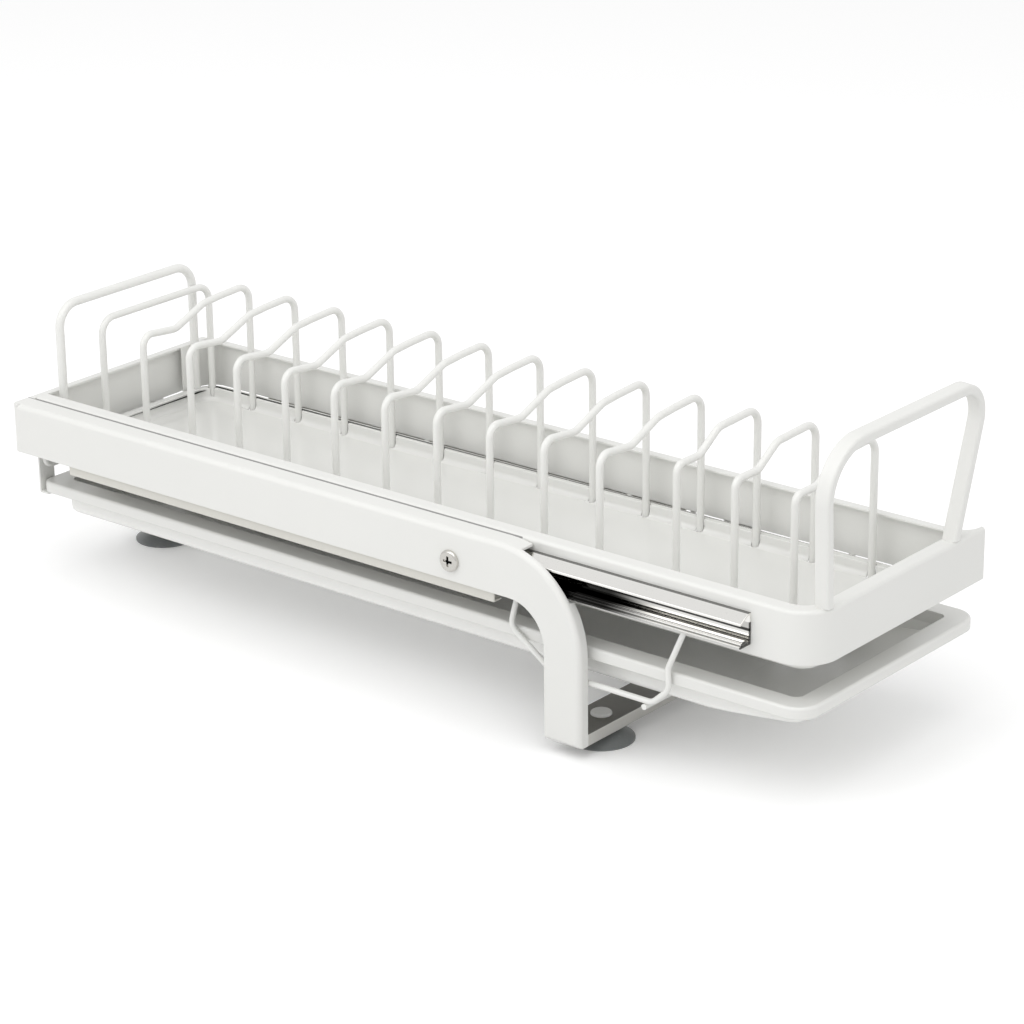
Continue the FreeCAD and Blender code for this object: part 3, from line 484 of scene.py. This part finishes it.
def sheet_paint(name):
    """The satin off-white coat of the folded sheets."""
    return coated(name, (0.80, 0.80, 0.775), (0.775, 0.775, 0.75), 0.38, 1100.0, 0.03 * mm, coat=0.1)


def tray_plastic():
    """The tray's moulding, painted lighter in its well than on its rim: painted light in the shaded
    well.
    """
    material = coated("tray moulding", (0.94, 0.94, 0.915), (0.92, 0.92, 0.895), 0.22,
                      400.0, 0.02 * mm, coat=0.2, waves=30.0, wave_share=1.5)
    tree = material.node_tree
    height = split_node(tree, object_coordinates(material))["Z"]
    rim = range_node(tree, height, tray_well_top, tray_well_top + tray_rim_rise)
    tinted(material, rim, tray_rim_color)
    return material


finishes = {
    "painted_sheet": sheet_paint("powder coat"),
    "coated_wire": coated("wire coating", (0.83, 0.83, 0.805), (0.80, 0.80, 0.775), 0.30,
                          700.0, 0.05 * mm, coat=0.2, waves=120.0, wave_share=1.2),
    "carrier_paint": coated("carrier paint", (0.68, 0.67, 0.62), (0.64, 0.63, 0.58), 0.42,
                            1100.0, 0.03 * mm),
    "insert_plastic": coated("glossy moulding", (0.81, 0.81, 0.785), (0.795, 0.795, 0.77), 0.10,
                             250.0, 0.01 * mm, coat=0.3, waves=25.0, wave_share=2.0,
                             gloss_change=0.03),
    "tray_plastic": tray_plastic(),
    "stud_plastic": coated("stud moulding", (0.60, 0.60, 0.585), (0.56, 0.56, 0.545), 0.40,
                           900.0, 0.02 * mm),
    "cup_rubber": coated("cup rubber", (0.19, 0.20, 0.20), (0.16, 0.17, 0.17), 0.36, 1400.0,
                         0.04 * mm, speck=dark_speck, specks=0.2),
    "bright_rail": bright("bright rail", (0.86, 0.86, 0.84), (0.80, 0.80, 0.78), 0.10, 0.10,
                          0.01 * mm),
    "zinc_steel": bright("zinc plate", (0.62, 0.62, 0.60), (0.50, 0.50, 0.49), 0.30, 0.15,
                         0.02 * mm, lines=900.0, stretch=0.2),
}


def painted_seam_shade_coat(name, plane, low, high, end):
    """The sheet's paint, with painted shade dark on the faces of the seam beside the drawer."""
    material = sheet_paint(name)
    gap = group_node(material.node_tree, gap_group, object_coordinates(material),
                     {"Plane": plane, "Low": low, "High": high, "End": end, "Reach": seam_reach})
    tinted(material, gap.outputs["Shade"], seam_painted_shade)
    return material


def rail_metal(node):
    """The bright rail's metal with its painted reflection stripes, and painted shade dark towards the
    housing.
    """
    material = bright("bright rail " + node, (0.98, 0.97, 0.94), (0.94, 0.93, 0.90), 0.05, 0.06,
                      0.004 * mm)
    low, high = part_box(node)
    stripes = group_node(material.node_tree, stripes_group, object_coordinates(material),
                         {"Bottom": low.z, "Height": high.z - low.z,
                          "Painted shade from": rail_painted_shade_from, "Painted shade until": rail_painted_shade_until,
                          "Painted shade gone by": rail_painted_shade_gone_by, "End": high.x - rail_end_painted_shade_width})
    mask = math_node(material.node_tree, "SUBTRACT", 1.0, stripes.outputs["Shade"])
    tinted(material, mask, rail_painted_shade_black)
    return material


def screw_metal(node):
    """The screw's metal, with painted shade dark in its cross recess."""
    material = bright("screw steel " + node, (0.72, 0.70, 0.66), (0.60, 0.59, 0.56), 0.14, 0.12,
                      0.02 * mm, lines=2500.0, stretch=1.0)
    low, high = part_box(node)
    head = high.x - low.x
    recess = group_node(material.node_tree, recess_group, object_coordinates(material),
                        {"Face": high.y, "Depth": recess_depth, "Axis X": (low.x + high.x) / 2,
                         "Axis Z": high.z - head / 2, "Far drop": high.z - low.z - head,
                         "Radius": recess_radius})
    tinted(material, recess.outputs["Mask"], recess_painted_shade)
    return material


def foot_metal(node):
    """The foot plate's metal, painted darker on its flat top than on its folded front: painted shade
    under the tray.
    """
    material = bright("plate metal", (0.80, 0.79, 0.76), (0.72, 0.71, 0.68), 0.30, 0.10, 0.01 * mm,
                      lines=700.0, stretch=0.5)
    tree = material.node_tree
    height = split_node(tree, object_coordinates(material))["Z"]
    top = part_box(node)[1].z
    mask = range_node(tree, height, *(top - depth for depth in plate_top_painted_shade_band))
    tinted(material, mask, plate_top_painted_shade)
    return material


stand_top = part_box("stand_frame")[1].z
drawer_low, drawer_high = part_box("drawer_frame")
drawer_side = -drawer_low.y
seam_low = stand_top - seam_depth
# Both coats carry painted shade in the seam between stand and drawer.
stand_paint = painted_seam_shade_coat("stand coat with painted seam shade", drawer_side + seam_gap, seam_low, stand_top + seam_reach,
                         seam_end)
drawer_paint = painted_seam_shade_coat("drawer coat with painted seam shade", drawer_side, seam_low, drawer_high.z - seam_reach,
                          seam_end)

body_of = {node: body for body, nodes in frame["record"]["behaviour"]["bodies"].items()
           for node in nodes}
slot_of = {part["node"]: part["material_slot"] for part in frame["record"]["subparts"]}


# Pieces made from the frame's own solids
def dressed(node, edge, slot=None, finish=None):
    """A merged copy of a solid with softened edges, that stands for it. The slot and the finish
    are the node's own where none is given."""
    mesh = frame["nodes"][node].data.copy()
    work = bmesh.new()
    work.from_mesh(mesh)
    bmesh.ops.remove_doubles(work, verts=work.verts, dist=merge_distance)
    bmesh.ops.dissolve_limit(work, angle_limit=flat_angle, verts=work.verts, edges=work.edges)
    work.to_mesh(mesh)
    work.free()
    made = bpy.data.objects.new(node + "_piece", mesh)
    bpy.context.scene.collection.objects.link(made)
    mesh.materials.clear()
    mesh.materials.append(finish or finishes[slot or slot_of[node]])
    for polygon in mesh.polygons:
        polygon.material_index = 0
    if edge:
        bevel = made.modifiers.new("Soft edges", "BEVEL")
        bevel.width = edge
        bevel.segments = edge_segments
        bevel.limit_method = "ANGLE"
        bevel.angle_limit = sharp_angle
        bevel.use_clamp_overlap = False
    smooth(made)
    flat_first = made.modifiers.new("Flat faces first", "WEIGHTED_NORMAL")
    flat_first.keep_sharp = True
    flat_first.weight = flat_weight
    made = plain_mesh(made, made.name + "_soft")
    held_in(made, *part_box(node))
    place(made, body_of[node], [node])


dressed("stand_frame", thin_edge, finish=stand_paint)
dressed("drawer_frame", thin_edge, finish=drawer_paint)
dressed("front_foot_plate", soft_edge, "zinc_steel", foot_metal("front_foot_plate"))
for node in ("rear_foot_bracket", "slide_carrier_near", "slide_carrier_far", "lower_tray",
             "drip_insert", "tray_hanger_near", "tray_hanger_far"):
    dressed(node, soft_edge)
for side in ("near", "far"):
    dressed("moving_rail_" + side, fine_edge, finish=rail_metal("moving_rail_" + side))
    dressed("fixed_rail_" + side, fine_edge)
dressed("side_screws", fine_edge, finish=screw_metal("side_screws"))
for node in ("front_handle", "suction_cup_front_near", "suction_cup_front_far", "suction_cup_rear",
             "cup_studs"):
    dressed(node, 0)
for node in ("ball_cage_near", "ball_cage_far", "slide_balls_near", "slide_balls_far", "rail_rivets"):
    mesh = frame["nodes"][node].data
    mesh.materials.clear()
    mesh.materials.append(finishes[slot_of[node]])


# Wire
def add_socket(tree, label, kind, value=None):
    """A named input of a geometry tree."""
    socket = tree.interface.new_socket(label, in_out="INPUT", socket_type=kind)
    if value is not None:
        socket.default_value = value


def build_wire_tree():
    """Rounds the corners of a line, gives it a round section and repeats it along X."""
    tree = bpy.data.node_groups.new("Bent wire", "GeometryNodeTree")
    add_socket(tree, "Corners", "NodeSocketGeometry")
    add_socket(tree, "Diameter", "NodeSocketFloat", 4 * mm)
    add_socket(tree, "Sides", "NodeSocketInt", wire_sides)
    add_socket(tree, "Bend steps", "NodeSocketInt", bend_steps)
    add_socket(tree, "Copies", "NodeSocketInt", 1)
    add_socket(tree, "Pitch", "NodeSocketFloat", 0.0)
    add_socket(tree, "Finish", "NodeSocketMaterial")
    tree.interface.new_socket("Wire", in_out="OUTPUT", socket_type="NodeSocketGeometry")
    start = tree.nodes.new("NodeGroupInput")
    end = tree.nodes.new("NodeGroupOutput")
    line = tree.nodes.new("GeometryNodeMeshToCurve")
    bend = tree.nodes.new("GeometryNodeInputNamedAttribute")
    bend.data_type = "FLOAT"
    bend.inputs["Name"].default_value = "bend"
    fillet = tree.nodes.new("GeometryNodeFilletCurve")
    fillet.mode = "POLY"
    ring = tree.nodes.new("GeometryNodeCurvePrimitiveCircle")
    half = tree.nodes.new("ShaderNodeMath")
    half.operation = "MULTIPLY"
    half.inputs[1].default_value = 0.5
    sweep = tree.nodes.new("GeometryNodeCurveToMesh")
    sweep.inputs["Fill Caps"].default_value = True
    offset = tree.nodes.new("ShaderNodeCombineXYZ")
    row = tree.nodes.new("GeometryNodeMeshLine")
    copies = tree.nodes.new("GeometryNodeInstanceOnPoints")
    real = tree.nodes.new("GeometryNodeRealizeInstances")
    paint = tree.nodes.new("GeometryNodeSetMaterial")
    links = (
        (start.outputs["Corners"], line.inputs["Mesh"]),
        (line.outputs["Curve"], fillet.inputs["Curve"]),
        (bend.outputs["Attribute"], fillet.inputs["Radius"]),
        (start.outputs["Bend steps"], fillet.inputs["Count"]),
        (start.outputs["Diameter"], half.inputs[0]),
        (half.outputs[0], ring.inputs["Radius"]),
        (start.outputs["Sides"], ring.inputs["Resolution"]),
        (fillet.outputs["Curve"], sweep.inputs["Curve"]),
        (ring.outputs["Curve"], sweep.inputs["Profile Curve"]),
        (start.outputs["Pitch"], offset.inputs["X"]),
        (start.outputs["Copies"], row.inputs["Count"]),
        (offset.outputs["Vector"], row.inputs["Offset"]),
        (row.outputs["Mesh"], copies.inputs["Points"]),
        (sweep.outputs["Mesh"], copies.inputs["Instance"]),
        (copies.outputs["Instances"], real.inputs["Geometry"]),
        (real.outputs["Geometry"], paint.inputs["Geometry"]),
        (start.outputs["Finish"], paint.inputs["Material"]),
        (paint.outputs["Geometry"], end.inputs["Wire"]),
    )
    for out_socket, in_socket in links:
        tree.links.new(out_socket, in_socket)
    return tree


wire_tree = build_wire_tree()
wire_inputs = {item.name: item.identifier for item in wire_tree.interface.items_tree
               if item.item_type == "SOCKET" and item.in_out == "INPUT"}


def bent_wire(name, corners, bends, diameter, nodes, copies=1, pitch=0.0):
    """Wire through the corners, each rounded by its bend, that stands for the nodes."""
    mesh = bpy.data.meshes.new(name)
    mesh.from_pydata([tuple(c) for c in corners], [(i, i + 1) for i in range(len(corners) - 1)], [])
    attribute = mesh.attributes.new("bend", "FLOAT", "POINT")
    attribute.data.foreach_set("value", [0.0, *bends, 0.0])
    line = bpy.data.objects.new(name + "_line", mesh)
    bpy.context.scene.collection.objects.link(line)
    modifier = line.modifiers.new("Wire", "NODES")
    modifier.node_group = wire_tree
    values = {"Diameter": diameter, "Sides": wire_sides, "Bend steps": bend_steps,
              "Copies": copies, "Pitch": pitch, "Finish": finishes["coated_wire"]}
    for label, value in values.items():
        modifier[wire_inputs[label]] = value
    made = plain_mesh(line, name)
    if "bend" in made.data.attributes:
        made.data.attributes.remove(made.data.attributes["bend"])
    smooth(made)
    place(made, body_of[nodes[0]], nodes)


def hoop_corners(node, wire, inner):
    """A hoop's corners from its solid: up the near leg, over the inner points, down the far one."""
    low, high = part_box(node)
    x = (low.x + high.x) / 2
    near_leg = low.y + wire / 2
    far_leg = high.y - wire / 2
    top = high.z - wire / 2
    points = [Vector((x, near_leg, low.z))]
    points += [Vector((x, y, z)) for y, z in inner(near_leg, far_leg, top)]
    points.append(Vector((x, far_leg, low.z)))
    return points


def wide_top(near_leg, far_leg, top):
    """The dipping top of a wide hoop."""
    shelf = top - shelf_drop
    return [(near_leg, shelf), (far_leg - slope_foot_from_far, shelf - shelf_sag),
            (far_leg - slope_head_from_far, top - crest_drop),
            (far_leg - crest_from_far, top - crest_drop / 2), (far_leg, top)]


def narrow_top(near_leg, far_leg, top):
    """The dipping top of a narrow hoop."""
    shelf = top - shelf_drop - shelf_sag
    return [(near_leg, shelf), (far_leg - narrow_foot_from_far, shelf),
            (far_leg - narrow_head_from_far, top - crest_drop / 2), (far_leg, top)]


def level_top(near_leg, far_leg, top):
    """The level top of a plain hoop."""
    return [(near_leg, top), (far_leg, top)]


hoop_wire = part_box("base_wire_near")[1].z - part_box("base_wire_near")[0].z
rear_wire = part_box("rear_hoop")[1].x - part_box("rear_hoop")[0].x
hoop_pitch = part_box("plate_hoop_02")[0].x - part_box("plate_hoop_01")[0].x
hoop_nodes = [f"plate_hoop_{i + 1:02d}" for i in range(wide_hoops + narrow_hoops)]
bent_wire("wide_hoops", hoop_corners("plate_hoop_01", hoop_wire, wide_top),
          [near_bend, slope_bend, slope_bend, slope_bend, far_bend], hoop_wire,
          hoop_nodes[:wide_hoops], wide_hoops, hoop_pitch)
bent_wire("narrow_hoops", hoop_corners(hoop_nodes[wide_hoops], hoop_wire, narrow_top),
          [narrow_bend, narrow_slope_bend, slope_bend, far_bend], hoop_wire,
          hoop_nodes[wide_hoops:], narrow_hoops, hoop_pitch)
bent_wire("plain_hoop_wire", hoop_corners("plain_hoop", hoop_wire, level_top),
          [plain_bend, plain_bend], hoop_wire, ["plain_hoop"])
bent_wire("rear_hoop_wire", hoop_corners("rear_hoop", rear_wire, level_top),
          [rear_hoop_bend, rear_hoop_bend], rear_wire, ["rear_hoop"])


def straight_wire(node):
    """A straight wire along X."""
    low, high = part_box(node)
    y, z = (low.y + high.y) / 2, (low.z + high.z) / 2
    bent_wire(node + "_rod", [Vector((low.x, y, z)), Vector((high.x, y, z))], [], high.z - low.z, [node])


for node in ("base_wire_near", "base_wire_front", "base_wire_far"):
    straight_wire(node)

for node in ("cross_wires", "cradle_wires", "cradle_bail_near", "cradle_bail_far"):
    dressed(node, 0)


# Floor, sky, lights and camera
def add_floor():
    """A pale floor that keeps the shadow and meets the white background."""
    bpy.ops.mesh.primitive_plane_add(size=floor_size, location=(0, 0, 0))
    floor = bpy.context.object
    floor.name = "floor"
    material = bpy.data.materials.new("pale floor")
    material.use_nodes = True
    tree = material.node_tree
    tree.nodes.clear()
    output = tree.nodes.new("ShaderNodeOutputMaterial")
    diffuse = tree.nodes.new("ShaderNodeBsdfDiffuse")
    glow = tree.nodes.new("ShaderNodeEmission")
    both = tree.nodes.new("ShaderNodeAddShader")
    rays = tree.nodes.new("ShaderNodeLightPath").outputs
    lift = math_node(tree, "MULTIPLY", rays["Is Camera Ray"], floor_lift)
    shine = math_node(tree, "MULTIPLY", rays["Is Glossy Ray"], floor_mirrored - floor_bounce)
    look = math_node(tree, "MULTIPLY", rays["Is Camera Ray"], floor_seen - floor_bounce)
    grey = math_node(tree, "ADD", math_node(tree, "ADD", shine, look), floor_bounce)
    tree.links.new(grey, diffuse.inputs["Color"])
    tree.links.new(lift, glow.inputs["Strength"])
    tree.links.new(diffuse.outputs[0], both.inputs[0])
    tree.links.new(glow.outputs[0], both.inputs[1])
    tree.links.new(both.outputs[0], output.inputs["Surface"])
    floor.data.materials.append(material)


def add_world():
    """A sky that lights more from low down, and is white to the camera, a mirror or glass."""
    world = bpy.data.worlds.new("studio")
    bpy.context.scene.world = world
    world.use_nodes = True
    tree = world.node_tree
    tree.nodes.clear()
    output = tree.nodes.new("ShaderNodeOutputWorld")
    soft = tree.nodes.new("ShaderNodeBackground")
    soft.inputs["Color"].default_value = (1, 1, 1, 1)
    direction = tree.nodes.new("ShaderNodeTexCoord").outputs["Generated"]
    fall = tree.nodes.new("ShaderNodeMapRange")
    tree.links.new(split_node(tree, direction)["Z"], fall.inputs["Value"])
    fall.inputs["To Min"].default_value = sky_low
    fall.inputs["To Max"].default_value = sky_high
    tree.links.new(fall.outputs["Result"], soft.inputs["Strength"])
    white = tree.nodes.new("ShaderNodeBackground")
    white.inputs["Strength"].default_value = 1.0
    rays = tree.nodes.new("ShaderNodeLightPath").outputs
    straight = math_node(tree, "MAXIMUM", rays["Is Camera Ray"], rays["Is Transmission Ray"])
    sees_white = math_node(tree, "MAXIMUM", straight, rays["Is Glossy Ray"])
    mix = tree.nodes.new("ShaderNodeMixShader")
    tree.links.new(sees_white, mix.inputs[0])
    tree.links.new(soft.outputs[0], mix.inputs[1])
    tree.links.new(white.outputs[0], mix.inputs[2])
    tree.links.new(mix.outputs[0], output.inputs["Surface"])


def add_light(name, at, size, power):
    """A square soft light that looks at the rack."""
    data = bpy.data.lights.new(name, "AREA")
    data.shape = "SQUARE"
    data.size = size
    data.energy = power
    light = bpy.data.objects.new(name, data)
    bpy.context.scene.collection.objects.link(light)
    light.location = at
    way = Vector(light_target) - Vector(at)
    light.rotation_euler = way.to_track_quat("-Z", "Y").to_euler()


def add_camera():
    """The camera at the photograph's place."""
    data = bpy.data.cameras.new("camera")
    data.lens = camera_lens
    data.sensor_width = camera_sensor
    camera = bpy.data.objects.new("camera", data)
    bpy.context.scene.collection.objects.link(camera)
    turn = Matrix.Rotation(math.radians(camera_turn), 3, "Z")
    dip = Matrix.Rotation(math.radians(90 - camera_dip), 3, "X")
    roll = Matrix.Rotation(math.radians(camera_roll), 3, "Z")
    camera.rotation_euler = (turn @ dip @ roll).to_euler()
    camera.location = camera_place
    bpy.context.scene.camera = camera


add_floor()
add_world()
for light in lights:
    add_light(*light)
add_camera()
bpy.context.scene.view_settings.view_transform = "Standard"
